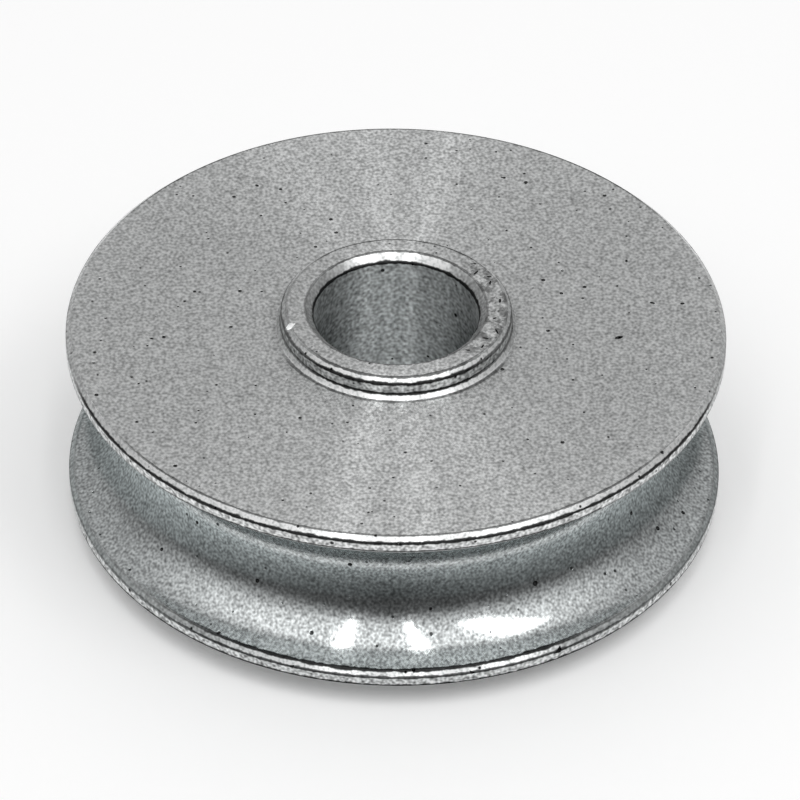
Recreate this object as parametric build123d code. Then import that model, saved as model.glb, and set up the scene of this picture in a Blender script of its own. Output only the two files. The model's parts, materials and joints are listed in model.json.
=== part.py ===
from build123d import *
import os
from math import cos, radians, sin

# Wire rope sheave, turned all over from one piece of steel. Sizes in millimetres, angles in degrees.
# The axis of rotation is Z. The origin is on that axis, in the plane of the lower hub end,
# on which the sheave stands when it is laid down.

# Driving dimensions of the rim
rim_diameter = 80.0      # over the lips on both sides of the groove
groove_radius = 9.4      # radius of the groove's rounded section, for a 16 mm rope
groove_arc = 156.0       # how much of a circle that section sweeps, from lip to lip
rim_land = 1.25          # cylindrical band that is left on the outside of each lip
edge_break = 0.65        # 45 degree break on both corners of each lip

# Driving dimensions of the hub
bore_diameter = 20.0     # plain bore for the pin
hub_wall = 4.0           # between the bore and the outside of the hub
hub_rise = 2.65          # how far each hub end stands proud of the rim's side face
hub_chamfer = 0.65       # 45 degree chamfer on the hub's outer corner
bore_chamfer = 1.0       # 45 degree lead-in at both mouths of the bore
hub_foot = 0.55          # 45 degree foot that is left where the hub meets the side face

# Radii that follow from them
half_arc = radians(groove_arc / 2)
bore_radius = bore_diameter / 2
hub_radius = bore_radius + hub_wall
rim_radius = rim_diameter / 2
lip_radius = rim_radius - edge_break
groove_depth = groove_radius * (1 - cos(half_arc))
root_radius = lip_radius - groove_depth
groove_centre_radius = root_radius + groove_radius

# Heights above the middle plane of the groove that follow from them
lip_height = groove_radius * sin(half_arc)
land_bottom = lip_height + edge_break
land_top = land_bottom + rim_land
face_height = land_top + edge_break
hub_height = face_height + hub_rise


def upper_edge():
    """Open outline of the section's upper side, from the bore's mouth to the groove's lip."""
    with BuildLine() as edge:
        bore_mouth = Line((bore_radius, hub_height - bore_chamfer), (bore_radius + bore_chamfer, hub_height))
        hub_end = Line(bore_mouth @ 1, (hub_radius - hub_chamfer, hub_height))
        hub_corner = Line(hub_end @ 1, (hub_radius, hub_height - hub_chamfer))
        hub_side = Line(hub_corner @ 1, (hub_radius, face_height + hub_foot))
        foot = Line(hub_side @ 1, (hub_radius + hub_foot, face_height))
        side_face = Line(foot @ 1, (lip_radius, face_height))
        outer_break = Line(side_face @ 1, (rim_radius, land_top))
        land = Line(outer_break @ 1, (rim_radius, land_bottom))
        inner_break = Line(land @ 1, (lip_radius, lip_height))
    return edge.line


def sheave_section():
    """Closed half section through the axis, alike above and below the middle plane."""
    with BuildSketch(Plane.XZ) as section:
        with BuildLine():
            upper = add(upper_edge())
            mirror(upper, about=Plane.XZ)
            CenterArc(
                (groove_centre_radius, 0),
                groove_radius,
                start_angle=180 - groove_arc / 2,
                arc_size=groove_arc,
            )
            Line((bore_radius, hub_height - bore_chamfer), (bore_radius, bore_chamfer - hub_height))
        make_face()
    return section.sketch


def sheave():
    """The section swept once round the axis, standing on its lower hub end."""
    turned = revolve(sheave_section(), axis=Axis.Z, revolution_arc=360)
    body = Pos(0, 0, hub_height) * turned
    body.label = "sheave"
    return body


parts = {"sheave": sheave()}

os.makedirs("parts", exist_ok=True)
for node, solid in parts.items():
    export_step(solid, f"parts/{node}.step")
    print(node, f"volume {solid.volume / 1000:.2f} cm3")
print(f"rim width {2 * face_height:.2f}, hub length {2 * hub_height:.2f}, tread diameter {2 * root_radius:.2f}")
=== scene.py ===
import json
from math import cos, pi, radians, sin
from random import Random

import bmesh
import bpy
from mathutils import Matrix, Vector


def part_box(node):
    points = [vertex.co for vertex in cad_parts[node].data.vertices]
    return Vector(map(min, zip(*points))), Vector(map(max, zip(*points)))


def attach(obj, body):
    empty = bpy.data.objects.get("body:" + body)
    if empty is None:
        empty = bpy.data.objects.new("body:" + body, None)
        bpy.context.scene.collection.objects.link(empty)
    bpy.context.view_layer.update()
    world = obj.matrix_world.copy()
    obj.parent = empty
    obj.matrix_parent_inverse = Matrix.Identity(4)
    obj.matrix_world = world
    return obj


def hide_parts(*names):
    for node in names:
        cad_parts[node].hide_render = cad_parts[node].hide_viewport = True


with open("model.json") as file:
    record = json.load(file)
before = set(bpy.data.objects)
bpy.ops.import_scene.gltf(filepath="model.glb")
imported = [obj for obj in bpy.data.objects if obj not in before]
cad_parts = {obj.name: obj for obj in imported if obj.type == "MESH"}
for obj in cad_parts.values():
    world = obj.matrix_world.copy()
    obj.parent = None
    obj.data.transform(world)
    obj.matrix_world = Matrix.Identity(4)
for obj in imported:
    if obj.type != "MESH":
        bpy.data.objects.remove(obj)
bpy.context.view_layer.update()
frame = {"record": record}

mm = 0.001


class Wire:
    # One output socket of a node tree. Sums and products of wires add Math nodes.
    def __init__(self, tree, socket=None):
        self.tree = tree
        self.socket = socket

    def plug(self, target, value):
        if isinstance(value, Wire):
            self.tree.links.new(value.socket, target)
        else:
            target.default_value = value

    def make(self, kind, settings, sockets, output=0):
        node = self.tree.nodes.new(kind)
        for name, value in settings.items():
            setattr(node, name, value)
        for name, value in sockets.items():
            self.plug(node.inputs[name], value)
        return Wire(self.tree, node.outputs[output])

    def math(self, operation, *values):
        return self.make("ShaderNodeMath", {"operation": operation}, dict(enumerate(values)))

    def __add__(self, other):
        return self.math("ADD", self, other)

    def __radd__(self, other):
        return self.math("ADD", other, self)

    def __sub__(self, other):
        return self.math("SUBTRACT", self, other)

    def __rsub__(self, other):
        return self.math("SUBTRACT", other, self)

    def __mul__(self, other):
        return self.math("MULTIPLY", self, other)

    def __rmul__(self, other):
        return self.math("MULTIPLY", other, self)

    def __truediv__(self, other):
        return self.math("DIVIDE", self, other)

    def __pow__(self, other):
        return self.math("POWER", self, other)

    def absolute(self):
        return self.math("ABSOLUTE", self)

    def smooth(self, low, high, fromValue=0.0, toValue=1.0):
        return self.make(
            "ShaderNodeMapRange",
            {"interpolation_type": "SMOOTHSTEP"},
            {"Value": self, "From Min": low, "From Max": high, "To Min": fromValue, "To Max": toValue},
        )

    def axes(self):
        parts = self.make("ShaderNodeSeparateXYZ", {}, {"Vector": self}).socket.node
        return [Wire(self.tree, socket) for socket in parts.outputs]


# The turned sheave

sheave = {
    "grooveRadius": 9.4 * mm,
    "grooveArc": 156.0,          # degrees of the section's circle, from lip to lip
    "rimLand": 1.25 * mm,
    "edgeBreak": 0.65 * mm,
    "hubWall": 4.0 * mm,
    "hubRise": 2.65 * mm,
    "hubChamfer": 0.65 * mm,
    "hubFoot": 0.55 * mm,
    "boreChamfer": 1.0 * mm,
    "cornerRadius": 0.09 * mm,   # what is left of a sharp turned edge
    "cornerSegments": 3,
    "cornerAngle": 25,           # degrees; a sharper edge than this is rounded
    "shadeAngle": 40,            # degrees; a blunter edge than this is shaded smooth
    "mergeReach": 0.001 * mm,
    "boreReach": 0.02 * mm,      # faces this near to the bore's radius belong to it
    "faceRings": 8,              # rings of faces on each side face
    "grooveSteps": 60,
    "turnSteps": 360,
}

lowest, highest = (Vector(corner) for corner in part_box("sheave"))
mounts = {mount["name"]: mount for mount in frame["record"]["mounts"]}
rimRadius = (highest.x - lowest.x) / 2
boreRadius = mounts["bore"]["dims"]["r_mm"] * mm
hubRadius = boreRadius + sheave["hubWall"]
lipRadius = rimRadius - sheave["edgeBreak"]
middle = (lowest.z + highest.z) / 2
halfArc = radians(sheave["grooveArc"] / 2)
grooveCentre = lipRadius + sheave["grooveRadius"] * cos(halfArc)
footRadius = hubRadius + sheave["hubFoot"]
faceHeight = highest.z - sheave["hubRise"]      # of the upper side face
landTop = faceHeight - sheave["edgeBreak"]
landBottom = landTop - sheave["rimLand"]
lipHeight = landBottom - sheave["edgeBreak"]
lowerLand = 2 * middle - landBottom             # the same corners on the lower rim
lowerLip = 2 * middle - lipHeight


def upperOutline():
    # Radius and height of the section's upper corners, from the groove's lip inwards to the bore
    corners = [
        (rimRadius, landBottom),
        (rimRadius, landTop),
        (lipRadius, faceHeight),
    ]
    for ring in range(1, sheave["faceRings"]):
        share = ring / sheave["faceRings"]
        corners.append((lipRadius + (footRadius - lipRadius) * share, faceHeight))
    corners += [
        (footRadius, faceHeight),
        (hubRadius, faceHeight + sheave["hubFoot"]),
        (hubRadius, highest.z - sheave["hubChamfer"]),
        (hubRadius - sheave["hubChamfer"], highest.z),
        (boreRadius + sheave["boreChamfer"], highest.z),
        (boreRadius, highest.z - sheave["boreChamfer"]),
    ]
    return corners


def deselectAll():
    if bpy.context.mode != "OBJECT":
        bpy.ops.object.mode_set(mode="OBJECT")
    bpy.ops.object.select_all(action="DESELECT")


def selectWhere(piece, test):
    # Selects the faces of the piece in edit mode whose centre passes the test
    bpy.ops.mesh.select_mode(type="FACE")
    bpy.ops.mesh.select_all(action="DESELECT")
    shape = bmesh.from_edit_mesh(piece.data)
    for face in shape.faces:
        if test(face.calc_center_median(), face.normal):
            face.select_set(True)
    bmesh.update_edit_mesh(piece.data)


def extrudeTo(corner, start):
    step = (corner[0] - start[0], 0, corner[1] - start[1])
    bpy.ops.mesh.extrude_region_move(TRANSFORM_OT_translate={"value": step})
    return corner


def turnSheave():
    deselectAll()
    bpy.ops.mesh.primitive_plane_add(size=sheave["edgeBreak"])
    piece = bpy.context.object
    piece.name = "turnedSheave"
    bpy.ops.object.mode_set(mode="EDIT")
    bpy.ops.mesh.select_mode(type="VERT")
    bpy.ops.mesh.merge(type="CENTER")

    # Half section: the lower corners, the groove as an arc, the upper corners, back to the start
    upper = upperOutline()
    lower = [(radius, 2 * middle - height) for radius, height in reversed(upper)]
    point = lower[0]
    bpy.ops.transform.translate(value=(point[0], 0, point[1]))
    for corner in lower[1:]:
        point = extrudeTo(corner, point)
    point = extrudeTo((lipRadius, lowerLip), point)
    bpy.ops.mesh.spin(
        steps=sheave["grooveSteps"],
        angle=2 * halfArc,
        center=(grooveCentre, 0, middle),
        axis=(0, -1, 0),
    )
    point = (lipRadius, lipHeight)
    for corner in upper:
        point = extrudeTo(corner, point)
    extrudeTo(lower[0], point)

    bpy.ops.mesh.select_all(action="SELECT")
    bpy.ops.mesh.remove_doubles(threshold=sheave["mergeReach"])
    bpy.ops.mesh.spin(steps=sheave["turnSteps"], angle=2 * pi, center=(0, 0, 0), axis=(0, 0, 1))
    bpy.ops.mesh.select_all(action="SELECT")
    bpy.ops.mesh.remove_doubles(threshold=sheave["mergeReach"])
    bpy.ops.mesh.normals_make_consistent(inside=False)

    # Every turned corner keeps a small radius
    bpy.ops.mesh.select_all(action="DESELECT")
    bpy.ops.mesh.select_mode(type="EDGE")
    bpy.ops.mesh.edges_select_sharp(sharpness=radians(sheave["cornerAngle"]))
    bpy.ops.mesh.bevel(
        offset=sheave["cornerRadius"],
        segments=sheave["cornerSegments"],
        affect="EDGES",
        clamp_overlap=True,
    )
    bpy.ops.object.mode_set(mode="OBJECT")
    return piece


# Steel

# One finish for each kind of surface. The first stays wherever no other is assigned.
finishes = {
    "facedSteel": {"tone": 0.64, "roughness": 0.27, "anisotropy": 1.0, "speckle": 0.37, "grain": 0.35},
    # The edge breaks, lips and mouth chamfer are far brighter than the faces: partly brighter metal at
    # the edges, partly painted highlight
    "brokenSteel": {"tone": 0.97, "roughness": 0.36, "anisotropy": 0.9, "speckle": 0.30, "grain": 0.36},
    "lipSteel": {"tone": 0.97, "roughness": 0.36, "anisotropy": 0.9, "speckle": 0.36, "grain": 0.36},
    "mouthSteel": {"tone": 0.92, "roughness": 0.32, "anisotropy": 0.9, "speckle": 0.30, "grain": 0.36},
    "landSteel": {"tone": 0.64, "roughness": 0.30, "anisotropy": 0.8, "speckle": 0.6, "grain": 0.40},
    "groovedSteel": {"tone": 0.63, "roughness": 0.12, "anisotropy": 0.9, "speckle": 0.46, "grain": 0.33},
    "boredSteel": {"tone": 0.63, "roughness": 0.48, "anisotropy": 1.0, "speckle": 0.43, "grain": 0.43},
    # Near-black in the pits, gouges and chips: partly painted shade in these hollows
    "pittedSteel": {"tone": 0.05, "roughness": 0.60, "anisotropy": 0.0, "speckle": 0.3, "grain": 0.30},
    "nickedSteel": {"tone": 1.0, "roughness": 0.50, "anisotropy": 0.0, "speckle": 0.1, "grain": 0.36},
}

# Painted shade: the edge breaks and the bore are painted darker towards both sides. Where that starts
# and ends, as shares of the radius, and their tone there
paintedSideShade = {
    "brokenSteel": (0.86, 1.00, 0.66),
    "lipSteel": (0.42, 0.56, 0.62),
    "mouthSteel": (0.52, 0.66, 0.66),
    "boredSteel": (0.45, 1.00, 0.74),
}

# Sizes in mm; tones are shares of the finish's own
steel = {
    "steepest": 0.4,                 # a face whose normal leans less than this to Z is a side
    "flattest": 0.95,                # and one that leans more is flat; edge breaks lie between
    "tint": (0.985, 1.0, 0.998),
    "coolTint": (0.958, 1.0, 1.003),       # in the groove and the bore
    "coolFinishes": ("groovedSteel", "boredSteel"),
    "contrast": 4,                   # noise seldom leaves a quarter of its range, so it is spread out
    "grainStretch": 0.85,            # the grain is a little longer from front to back
    "grainDetail": 0.3,
    "ringSize": 0.8,                 # spacing of the faint turning marks
    "ringDetail": 3.0,
    "ringTone": 0.04,
    "cloudSize": 6.0,
    "cloudDetail": 3.0,
    "cloudTone": 0.02,
    "speckleHeight": 0.0002,
    "speckleRough": 0.2,             # how much rougher the speckle's bright grains are
    "flank": (33.5, 38.0),           # radii over which the groove is painted darker towards the lips, as painted shade
    "flankSides": (0.35, 0.75),      # and only towards both sides, as shares of the radius
    "flankTone": 0.78,
    "turnedLobe": 0.25,              # turns the highlight so that it is widest across the turning marks
}

# Small pits in the material, beside those that are cut into the mesh; their dark core is partly painted
# shade in the hollows
smallPits = {
    "spots": ((2.4, 0.21), (4.2, 0.31)),   # spacing and radius
    "core": 0.6,                     # share of the radius that is dark all over
    "tone": 0.08,
    "depth": 0.05,
    "rough": 0.6,
}

# Scuffs on the right of the upper hub end
scuffing = {
    "across": (7.5, 9.5),            # begins and is full at these distances to +X
    "below": (0.2, 0.1),             # begins and is full this far under the hub's end
    "size": 1.5,
    "detail": 4.0,
    "grit": 0.6,
    "dark": (0.51, 0.58),            # levels of the noise that count as a scuff
    "bright": (0.46, 0.40),          # and as a rub
    "darkening": 0.5,
    "brightening": 0.35,
    "depth": 0.03,
}

# How the painted shade lines at the corners look
cornerShading = {
    "size": 1.1,                     # how fast a line swells and shrinks
    "detail": 2.0,
    "grit": 0.6,
    "swell": 2.2,
    "core": 0.45,                    # share of the half width that is dark all over
    "tone": 0.05,
    "rough": 0.4,
    "sideShare": 0.7,                # how much of the way to the side it takes to fade
}

# Painted shade lines along the turned corners: radius, height, half width in mm, how dark they are
# at the front and back, how dark at the sides, and the share of the radius where they start
# to change from one to the other
paintedCornerShade = [
    (rimRadius, landTop, 0.33, 1.0, 0.2, 0.92),
    (rimRadius, landBottom, 0.26, 0.9, 0.45, 0.50),
    (lipRadius, lipHeight, 0.34, 1.0, 0.15, 0.45),
    (lipRadius - 0.06 * mm, faceHeight, 0.20, 0.75, 0.0, 0.70),
    (footRadius + 0.3 * mm, faceHeight, 0.28, 0.65, 0.1, 0.80),
    (hubRadius, faceHeight + sheave["hubFoot"], 0.28, 1.0, 0.65, 0.60),
    (hubRadius, highest.z - sheave["hubChamfer"], 0.35, 1.0, 0.75, 0.60),
    (hubRadius - sheave["hubChamfer"], highest.z, 0.28, 0.85, 0.3, 0.60),
    (boreRadius + sheave["boreChamfer"], highest.z, 0.22, 0.8, 0.45, 0.60),
    (boreRadius, highest.z - sheave["boreChamfer"], 0.34, 1.0, 1.0, 0.80),
]


def noise(place, size, detail, grit=0.5, dimensions="3D"):
    sockets = {"Vector": place, "Scale": 1 / size, "Detail": detail, "Roughness": grit}
    return place.make("ShaderNodeTexNoise", {"noise_dimensions": dimensions}, sockets)


def darkest(masks):
    # One mask from several, which takes the strongest at each point
    whole = masks[0]
    for mask in masks[1:]:
        whole = whole.math("MAXIMUM", whole, mask)
    return whole


def pitMask(place):
    # The surface cuts through spots that are scattered in space
    masks = []
    for spacing, radius in smallPits["spots"]:
        spot = place.make(
            "ShaderNodeTexVoronoi",
            {"feature": "F1", "voronoi_dimensions": "3D"},
            {"Vector": place, "Scale": 1 / spacing, "Randomness": 1.0},
        )
        masks.append(spot.smooth(smallPits["core"] * radius / spacing, radius / spacing, 1.0, 0.0))
    return darkest(masks)


def scuffMasks(place, across, height):
    # Darker and brighter blotches on one side of the upper hub end
    begin, full = scuffing["below"]
    top = highest.z / mm
    where = across.smooth(*scuffing["across"]) * height.smooth(top - begin, top - full)
    blotch = noise(place, scuffing["size"], scuffing["detail"], scuffing["grit"])
    return blotch.smooth(*scuffing["dark"]) * where, blotch.smooth(*scuffing["bright"]) * where


# Mask of the painted shade lines at the turned corners
def cornerShadeMask(place, radius, height, aside):
    # Both sides of the sheave are alike, so the corners' heights count from its middle
    height = (height - middle / mm).absolute()
    swell = noise(place, cornerShading["size"], cornerShading["detail"], cornerShading["grit"]) - 0.5
    swell = 1 + swell * cornerShading["swell"]
    masks = []
    for cornerRadius, cornerHeight, width, strength, sideStrength, begin in paintedCornerShade:
        outward = radius - cornerRadius / mm
        upward = height - (cornerHeight - middle) / mm
        reach = (outward * outward + upward * upward) ** 0.5 / swell
        faded = begin + (1 - begin) * cornerShading["sideShare"]
        depthOfTone = aside.smooth(begin, faded, strength, sideStrength)
        masks.append(reach.smooth(cornerShading["core"] * width, width, 1.0, 0.0) * depthOfTone)
    return darkest(masks)


def steelMaterial(name):
    finish = finishes[name]
    material = bpy.data.materials.new(name)
    material.use_nodes = True
    tree = material.node_tree
    tree.nodes.clear()
    start = Wire(tree)
    place = start.make("ShaderNodeTexCoord", {}, {}, output="Object")
    place = place.make("ShaderNodeVectorMath", {"operation": "SCALE"}, {0: place, "Scale": 1 / mm})
    across, depth, height = place.axes()
    radius = (across * across + depth * depth) ** 0.5
    aside = across.absolute() / radius

    # The turned surface: grain, clouds and faint rings
    stretch = {0: place, 1: (1, steel["grainStretch"], 1)}
    grain = place.make("ShaderNodeVectorMath", {"operation": "MULTIPLY"}, stretch)
    speckle = noise(grain, finish["grain"], steel["grainDetail"]) - 0.5
    cloud = noise(place, steel["cloudSize"], steel["cloudDetail"]) - 0.5
    turning = radius.make("ShaderNodeCombineXYZ", {}, {"X": radius, "Y": height})
    rings = noise(turning, steel["ringSize"], steel["ringDetail"], dimensions="2D") - 0.5
    tone = speckle * finish["speckle"] + cloud * steel["cloudTone"] + rings * steel["ringTone"]
    tone = finish["tone"] * (1 + tone * steel["contrast"])

    # What marks it, and the painted shade at its corners and sides
    pits = pitMask(place)
    scuffs, rubs = scuffMasks(place, across, height)
    cornerShade = cornerShadeMask(place, radius, height, aside)
    # The pits' dark core is partly painted shade
    tone = tone * (1 - pits * (1 - smallPits["tone"]))
    tone = tone * (1 - scuffs * scuffing["darkening"]) * (1 + rubs * scuffing["brightening"])
    # Painted shade along the turned corners
    tone = tone * (1 - cornerShade * (1 - cornerShading["tone"]))
    # Painted shade: darker towards both sides
    if name in paintedSideShade:
        begin, end, shadedTone = paintedSideShade[name]
        tone = tone * aside.smooth(begin, end, 1.0, shadedTone)
    # Painted shade on the groove's flanks towards the lips, at both sides
    if name == "groovedSteel":
        paintedFlankShade = radius.smooth(*steel["flank"]) * aside.smooth(*steel["flankSides"])
        tone = tone * (1 - paintedFlankShade * (1 - steel["flankTone"]))

    tints = steel["coolTint"] if name in steel["coolFinishes"] else steel["tint"]
    channels = {channel: tone * tint for channel, tint in zip(("Red", "Green", "Blue"), tints)}
    colour = tone.make("ShaderNodeCombineColor", {"mode": "RGB"}, channels)
    relief = speckle * steel["speckleHeight"]
    relief = relief - pits * smallPits["depth"] - scuffs * scuffing["depth"]
    bump = relief.make("ShaderNodeBump", {}, {"Strength": 1.0, "Distance": mm, "Height": relief})
    rough = 1 + speckle * steel["speckleRough"] + pits * smallPits["rough"] + cornerShade * cornerShading["rough"]
    shader = start.make(
        "ShaderNodeBsdfPrincipled",
        {},
        {
            "Base Color": colour,
            "Metallic": 1.0,
            "Roughness": finish["roughness"] * rough,
            "Anisotropic": finish["anisotropy"],
            "Anisotropic Rotation": steel["turnedLobe"],
            "Normal": bump,
        },
    )
    output = tree.nodes.new("ShaderNodeOutputMaterial")
    start.plug(output.inputs["Surface"], shader)
    return material


def assignFinishes(piece):
    deselectAll()
    piece.select_set(True)
    bpy.context.view_layer.objects.active = piece
    names = list(finishes)
    for name in names:
        piece.data.materials.append(steelMaterial(name))
    bpy.ops.object.mode_set(mode="EDIT")
    steepest, flattest = steel["steepest"], steel["flattest"]

    def isGroove(centre, normal):
        return abs(centre.z - middle) < lipHeight - middle and centre.xy.length > footRadius

    def isBore(centre, normal):
        return centre.xy.length < boreRadius + sheave["boreReach"]

    def isBroken(centre, normal):
        return steepest < abs(normal.z) < flattest and not isGroove(centre, normal)

    def isLip(centre, normal):
        return isBroken(centre, normal) and abs(centre.z - middle) < landBottom - middle

    def isMouth(centre, normal):
        return isBroken(centre, normal) and centre.xy.length < boreRadius + sheave["boreChamfer"]

    def isLand(centre, normal):
        turned = isGroove(centre, normal) or isBore(centre, normal)
        return abs(normal.z) <= steepest and not turned

    tests = {
        "brokenSteel": isBroken,
        "lipSteel": isLip,
        "mouthSteel": isMouth,
        "landSteel": isLand,
        "groovedSteel": isGroove,
        "boredSteel": isBore,
    }
    for name, test in tests.items():
        selectWhere(piece, test)
        piece.active_material_index = names.index(name)
        bpy.ops.object.material_slot_assign()
    bpy.ops.object.mode_set(mode="OBJECT")


# Wear: pits, gouges, nicks and chips are cut into the turned shape. Sizes in mm, angles in
# degrees from +X round the axis; a turn is about the mark's own middle.

marks = {
    "seed": 11,
    "pitDepth": 0.8,                 # of the pit's radius
    "facePits": {                    # angle, radius and size
        "besideHub": (18, 21.1, 0.24),
        "atHubFoot": (-33, 15.3, 0.26),
        "behindHub": (66, 32.3, 0.22),
        "backLeft": (119, 30.2, 0.22),
        "backLeftInner": (112, 22.1, 0.26),
        "leftOfHub": (124, 18.0, 0.22),
        "leftEdge": (-158, 38.4, 0.26),
    },
    "groovePits": {                  # angle, slope of the groove's wall there, size
        "frontRight": (-59, 30, 0.34),
        "frontLeft": (-119, 29, 0.26),
        "left": (-137, 10, 0.24),
        "lowerLeft": (-143, 46, 0.24),
        "right": (-25, 51, 0.30),
        "rightUpper": (-29, 26, 0.26),
        "rightOuter": (-17, 62, 0.28),
        "belowLip": (-99, -3, 0.28),
        "front": (-82, 32, 0.20),
    },
    "scatteredPits": 60,
    "scatteredSize": (0.11, 0.20),
    "scatteredSlope": (-60, 70),     # those in the groove; every third one is there
    "scatterGap": (1.0, 0.5),        # mm that the face's stay away from the hub's foot and the lip
    "gougeDepth": 0.32,
    "gougeLift": 0.25,               # share of its depth that a gouge's cutter is raised by
    "faceGouges": {                  # angle, radius, half length, half width, turn
        "deepest": (-4, 27.0, 0.58, 0.30, 28),
        "rightPair": (9, 31.5, 0.36, 0.20, -30),
        "rightOuter": (8, 35.1, 0.30, 0.22, 10),
        "backRight": (25, 31.0, 0.28, 0.18, 60),
        "backLeft": (123, 32.3, 0.30, 0.20, 15),
        "left": (-177, 20.0, 0.26, 0.20, 0),
    },
    "hubGouges": {                   # the same on the hub's end
        "backRight": (36, 11.9, 0.50, 0.15, 20),
        "backRightOuter": (29, 12.8, 0.36, 0.14, -30),
        "backRightInner": (24, 12.4, 0.42, 0.13, 60),
        "right": (7, 12.6, 0.45, 0.17, 80),
        "rightInner": (-9, 12.0, 0.30, 0.12, 40),
        "frontRight": (-20, 12.9, 0.55, 0.13, -50),
        "frontRightInner": (-28, 12.2, 0.42, 0.15, 15),
        "front": (-35, 12.7, 0.40, 0.12, -75),
        "frontInner": (-43, 11.8, 0.34, 0.13, 30),
    },
    "nickFlatness": 0.5,
    "nicks": {                       # angle, the corner's radius and height, reach, width, turn
        "hubEnd": (-163, hubRadius - 0.4 * mm, highest.z - 0.1 * mm, 1.4, 1.9, 190),
        "rimLand": (-89, rimRadius - 0.1 * mm, landTop, 0.6, 0.8, 170),
    },
    "chips": {                       # dark ones, in the same terms
        "lowerLip": (-60, rimRadius - 0.2 * mm, lowerLand, 0.9, 1.5, 150),
        "lowerLipFront": (-76, rimRadius - 0.2 * mm, lowerLand, 0.6, 0.8, 200),
        "lowerLipMiddle": (-86, lipRadius - 0.1 * mm, lowerLip, 0.6, 0.7, 180),
        "lowerLipLeft": (-107, rimRadius - 0.2 * mm, lowerLand, 0.5, 0.7, 160),
    },
}


def outwards(angle):
    return Vector((cos(radians(angle)), sin(radians(angle)), 0))


def addPit(spot, normal, size, subdivisions=2):
    # A ball that reaches below the surface by its share of the pit's radius
    depth = marks["pitDepth"] * size
    ball = (size ** 2 + depth ** 2) / (2 * depth)
    bpy.ops.mesh.primitive_ico_sphere_add(
        subdivisions=subdivisions,
        radius=ball * mm,
        location=spot + normal * (ball - depth) * mm,
    )
    return bpy.context.object


def faceSpot(angle, radius):
    return outwards(angle) * radius * mm + Vector((0, 0, faceHeight)), Vector((0, 0, 1))


def grooveSpot(angle, slope):
    normal = outwards(angle) * cos(radians(slope)) + Vector((0, 0, sin(radians(slope))))
    centre = outwards(angle) * grooveCentre + Vector((0, 0, middle))
    return centre - normal * sheave["grooveRadius"], normal


def cutPits():
    chance = Random(marks["seed"])
    pits = []
    for angle, radius, size in marks["facePits"].values():
        pits.append(addPit(*faceSpot(angle, radius), size))
    for angle, slope, size in marks["groovePits"].values():
        pits.append(addPit(*grooveSpot(angle, slope), size))
    innerGap, outerGap = marks["scatterGap"]
    inner = footRadius / mm + innerGap
    outer = lipRadius / mm - outerGap
    for number in range(marks["scatteredPits"]):
        angle = chance.uniform(0, 360)
        size = chance.uniform(*marks["scatteredSize"])
        if number % 3:
            # The square root spreads them evenly over the face
            spot, normal = faceSpot(angle, chance.uniform(inner ** 2, outer ** 2) ** 0.5)
        else:
            spot, normal = grooveSpot(angle, chance.uniform(*marks["scatteredSlope"]))
        pits.append(addPit(spot, normal, size, subdivisions=1))
    return pits


def cutGouges(places, level):
    # Flattened balls that lie on the face at this level
    gouges = []
    depth = marks["gougeDepth"] * mm
    level = level + marks["gougeLift"] * depth
    for angle, radius, length, width, turn in places.values():
        bpy.ops.mesh.primitive_ico_sphere_add(subdivisions=2, radius=1)
        gouge = bpy.context.object
        gouge.scale = (length * mm, width * mm, depth)
        gouge.rotation_euler = (0, 0, radians(angle + turn))
        gouge.location = outwards(angle) * radius * mm + Vector((0, 0, level))
        gouges.append(gouge)
    return gouges


def cutNicks(places):
    # Three-sided spikes that point at the axis: each leaves a short notch in a corner
    nicks = []
    for angle, radius, height, reach, width, turn in places.values():
        bpy.ops.mesh.primitive_cone_add(vertices=3, radius1=width * mm, radius2=0, depth=2 * reach * mm)
        nick = bpy.context.object
        inwards = -outwards(angle)
        side = Vector((0, 0, 1)).cross(inwards)
        upright = Matrix((side, inwards.cross(side), inwards)).transposed()
        roll = Matrix.Rotation(radians(turn), 3, "Z")
        nick.scale = (1, marks["nickFlatness"], 1)
        nick.rotation_euler = (upright @ roll).to_euler()
        nick.location = outwards(angle) * radius + Vector((0, 0, height))
        nicks.append(nick)
    return nicks


def cutMarks(piece, cuts):
    # Gives the cutters their finishes, joins them and takes them out of the piece
    names = list(finishes)
    for finish, cutters in cuts:
        for cutter in cutters:
            for slot in piece.data.materials:
                cutter.data.materials.append(slot)
            bpy.context.view_layer.objects.active = cutter
            bpy.ops.object.mode_set(mode="EDIT")
            bpy.ops.mesh.select_all(action="SELECT")
            cutter.active_material_index = names.index(finish)
            bpy.ops.object.material_slot_assign()
            bpy.ops.object.mode_set(mode="OBJECT")
    bpy.ops.object.select_all(action="DESELECT")
    for finish, cutters in cuts:
        for cutter in cutters:
            cutter.select_set(True)
    bpy.ops.object.join()
    cutter = bpy.context.object
    cutting = piece.modifiers.new("cutting", "BOOLEAN")
    cutting.operation = "DIFFERENCE"
    cutting.solver = "EXACT"
    cutting.use_self = True
    cutting.object = cutter
    deselectAll()
    piece.select_set(True)
    bpy.context.view_layer.objects.active = piece
    bpy.ops.object.modifier_apply(modifier=cutting.name)
    bpy.data.objects.remove(cutter)


# Floor, lamps and camera

studio = {
    "floorSize": 40.0,
    "floorDrop": 0.02 * mm,
    "floorTone": 0.98,
    "floorGlow": 0.08,
    "floorRoughness": 0.9,
    "lampHeight": 1.2,
}

# Two narrow strip lamps and one wide panel. Each runs from one place to the other, and all their
# lengths are for a lamp height of 1.
strips = [
    {"start": (-0.31, -1.10), "end": (-0.128, 0.05), "width": 0.055, "light": 6.5},
    {"start": (0.127, -1.10), "end": (0.098, 0.00), "width": 0.055, "light": 6.5},
    {"start": (0.575, -0.86), "end": (0.505, -0.10), "width": 0.25, "light": 3.0},
]

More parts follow.
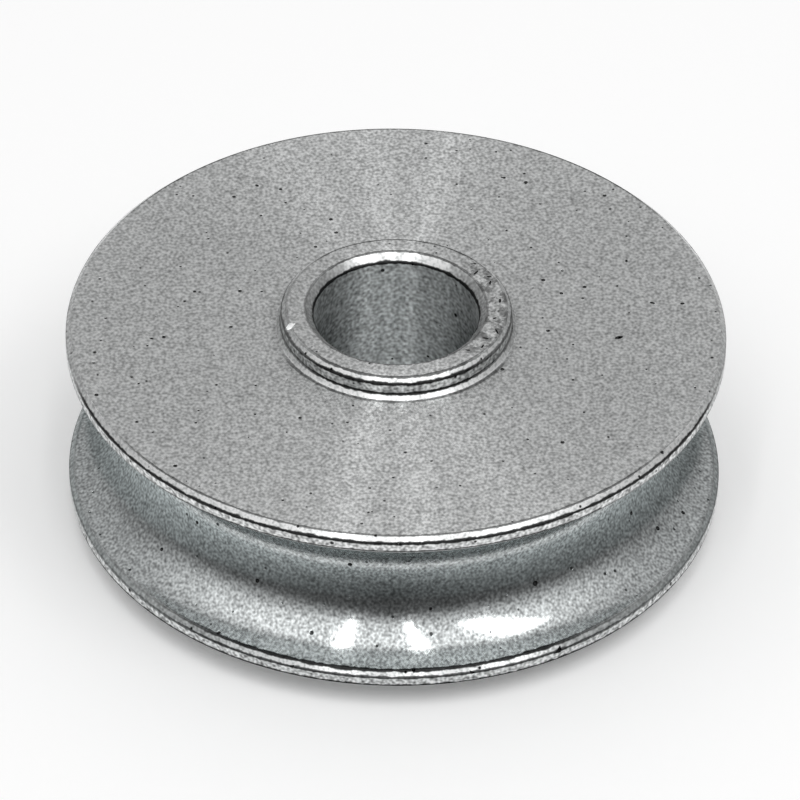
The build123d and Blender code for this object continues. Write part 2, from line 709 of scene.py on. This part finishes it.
# A low ring of card, dark in front and pale behind, seen only in the steel's reflections
card = {
    "radius": 47 * mm,
    "height": 12 * mm,
    "steps": 72,
    "mergeReach": 0.01 * mm,
    "footTone": 0.36,
    "topTone": 0.08,
    "colour": (0.94, 1.0, 1.005, 1),
    "leftTone": 0.21,            # added towards this side
    "rightTone": 0.12,
    "backTone": 0.75,
    "backFrom": (0.2, 0.8),      # where it pales towards the back, as shares of the radius
}


def addFloor():
    deselectAll()
    bpy.ops.mesh.primitive_plane_add(size=studio["floorSize"], location=(0, 0, -studio["floorDrop"]))
    floor = bpy.context.object
    floor.name = "paleFloor"
    material = bpy.data.materials.new("palePaper")
    material.use_nodes = True
    shader = material.node_tree.nodes["Principled BSDF"]
    tone = studio["floorTone"]
    shader.inputs["Base Color"].default_value = (tone, tone, tone, 1)
    shader.inputs["Roughness"].default_value = studio["floorRoughness"]
    shader.inputs["Specular IOR Level"].default_value = 0.0
    shader.inputs["Emission Color"].default_value = (1, 1, 1, 1)
    shader.inputs["Emission Strength"].default_value = studio["floorGlow"]
    floor.data.materials.append(material)


def addStrips():
    height = studio["lampHeight"]
    for number, strip in enumerate(strips):
        start = Vector((*strip["start"], 1.0)) * height
        end = Vector((*strip["end"], 1.0)) * height
        deselectAll()
        bpy.ops.object.light_add(type="AREA", location=(start + end) / 2)
        lamp = bpy.context.object
        lamp.name = f"strip{number + 1}"
        lamp.data.shape = "RECTANGLE"
        lamp.data.size = strip["width"] * height
        lamp.data.size_y = (end - start).length
        lamp.data.energy = strip["light"] * pi * lamp.data.size * lamp.data.size_y
        along = (end - start).normalized()
        side = along.cross(Vector((0, 0, 1))).normalized()
        lamp.rotation_euler = Matrix((side, along, side.cross(along))).transposed().to_euler()
        lamp.visible_camera = False


def addCard():
    deselectAll()
    bpy.ops.mesh.primitive_plane_add(size=card["height"])
    wall = bpy.context.object
    wall.name = "darkCard"
    bpy.ops.object.mode_set(mode="EDIT")
    bpy.ops.mesh.select_mode(type="VERT")
    bpy.ops.mesh.merge(type="CENTER")
    bpy.ops.transform.translate(value=(0, card["radius"], 0))
    bpy.ops.mesh.extrude_region_move(TRANSFORM_OT_translate={"value": (0, 0, card["height"])})
    bpy.ops.mesh.select_all(action="SELECT")
    bpy.ops.mesh.spin(steps=card["steps"], angle=2 * pi, center=(0, 0, 0), axis=(0, 0, -1))
    bpy.ops.mesh.select_all(action="SELECT")
    bpy.ops.mesh.remove_doubles(threshold=card["mergeReach"])
    bpy.ops.object.mode_set(mode="OBJECT")
    material = bpy.data.materials.new("darkBoard")
    material.use_nodes = True
    tree = material.node_tree
    tree.nodes.clear()
    start = Wire(tree)
    place = start.make("ShaderNodeTexCoord", {}, {}, output="Object")
    across, depth, height = place.axes()
    side = (across / card["radius"]).smooth(-1, 1)
    tilt = card["leftTone"] * (1 - side) + card["rightTone"] * side
    tilt = tilt * across.absolute() / card["radius"]
    glow = height.smooth(0, card["height"], card["footTone"], card["topTone"]) + tilt
    behind = (depth / card["radius"]).smooth(*card["backFrom"])
    glow = glow * (1 - behind) + behind * card["backTone"]
    board = glow.make("ShaderNodeEmission", {}, {"Color": card["colour"], "Strength": glow})
    output = tree.nodes.new("ShaderNodeOutputMaterial")
    start.plug(output.inputs["Surface"], board)
    wall.data.materials.append(material)
    for kind in ("camera", "diffuse", "shadow", "transmission", "volume_scatter"):
        setattr(wall, f"visible_{kind}", False)


# The world's light, by direction: a direction's parts run from -1 to 1
sky = {
    "horizonTone": 0.08,         # the dark room behind the camera
    "frontTone": 1.13,           # soft light high in front
    "frontFrom": 0.42,           # where that light starts above the horizon
    "frontFull": 0.88,
    "sideDrop": 0.32,            # how much lower it starts far to either side
    "backTone": 0.30,            # at the horizon behind the sheave
    "backRise": 0.44,            # what is added up to the top
    "beside": (0.60, 0.95),      # how far to the side the light behind starts to fall off
    "sideShade": 0.42,           # and by how much
    "turn": (-0.5, 0.3),         # where the light behind gives way to the light in front
}


def addSky():
    world = bpy.data.worlds.new("softStudio")
    bpy.context.scene.world = world
    world.use_nodes = True
    tree = world.node_tree
    tree.nodes.clear()
    start = Wire(tree)
    direction = start.make("ShaderNodeTexCoord", {}, {}, output="Generated")
    across, depth, height = direction.axes()
    sideways = across.absolute()
    edge = sky["frontFrom"] - sideways * sky["sideDrop"]
    front = height.smooth(edge, sky["frontFull"], sky["horizonTone"], sky["frontTone"])
    shade = 1 - sideways.smooth(*sky["beside"]) * sky["sideShade"]
    back = (sky["backTone"] + height * sky["backRise"]) * shade
    facing = (0 - depth).smooth(*sky["turn"])
    light = front * facing + back * (1 - facing)
    background = light.make("ShaderNodeBackground", {}, {"Color": (1, 1, 1, 1), "Strength": light})
    output = tree.nodes.new("ShaderNodeOutputWorld")
    start.plug(output.inputs["Surface"], background)


view = {
    "elevation": 39.41,          # degrees above the side face's plane
    "roll": 0.914,               # degrees
    "distance": 768.2 * mm,
    "across": 0.61 * mm,
    "down": 9.17 * mm,           # the picture's middle lies this far below the side face's
    "lens": 285.65,
}


def addCamera():
    tilt = radians(view["elevation"])
    roll = radians(view["roll"])
    right = Vector((1, 0, 0))
    up = Vector((0, sin(tilt), cos(tilt)))
    forward = Vector((0, cos(tilt), -sin(tilt)))
    target = Vector((0, 0, faceHeight))
    data = bpy.data.cameras.new("photoCamera")
    camera = bpy.data.objects.new("photoCamera", data)
    bpy.context.scene.collection.objects.link(camera)
    camera.location = target + right * view["across"] - up * view["down"] - forward * view["distance"]
    cameraRight = right * cos(roll) + up * sin(roll)
    cameraUp = up * cos(roll) - right * sin(roll)
    camera.rotation_euler = Matrix((cameraRight, cameraUp, -forward)).transposed().to_euler()
    data.lens = view["lens"]
    bpy.context.scene.camera = camera


print("turning the sheave")
piece = turnSheave()
print("finishing its surfaces")
assignFinishes(piece)
print("cutting pits, gouges, nicks and chips")
deselectAll()
gouges = cutGouges(marks["faceGouges"], faceHeight) + cutGouges(marks["hubGouges"], highest.z)
darkCuts = cutPits() + gouges + cutNicks(marks["chips"])
cutMarks(piece, [("pittedSteel", darkCuts), ("nickedSteel", cutNicks(marks["nicks"]))])
deselectAll()
piece.select_set(True)
bpy.context.view_layer.objects.active = piece
bpy.ops.object.shade_smooth_by_angle(angle=radians(sheave["shadeAngle"]))
weighting = piece.modifiers.new("weighting", "WEIGHTED_NORMAL")
weighting.keep_sharp = True
bpy.ops.object.modifier_apply(modifier=weighting.name)
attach(piece, "root")
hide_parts("sheave")
triangles = sum(len(face.vertices) - 2 for face in piece.data.polygons)
print("faces", len(piece.data.polygons), "triangles", triangles)

print("setting up the studio")
addFloor()
addStrips()
addCard()
addSky()
addCamera()
bpy.context.scene.view_settings.view_transform = "Standard"
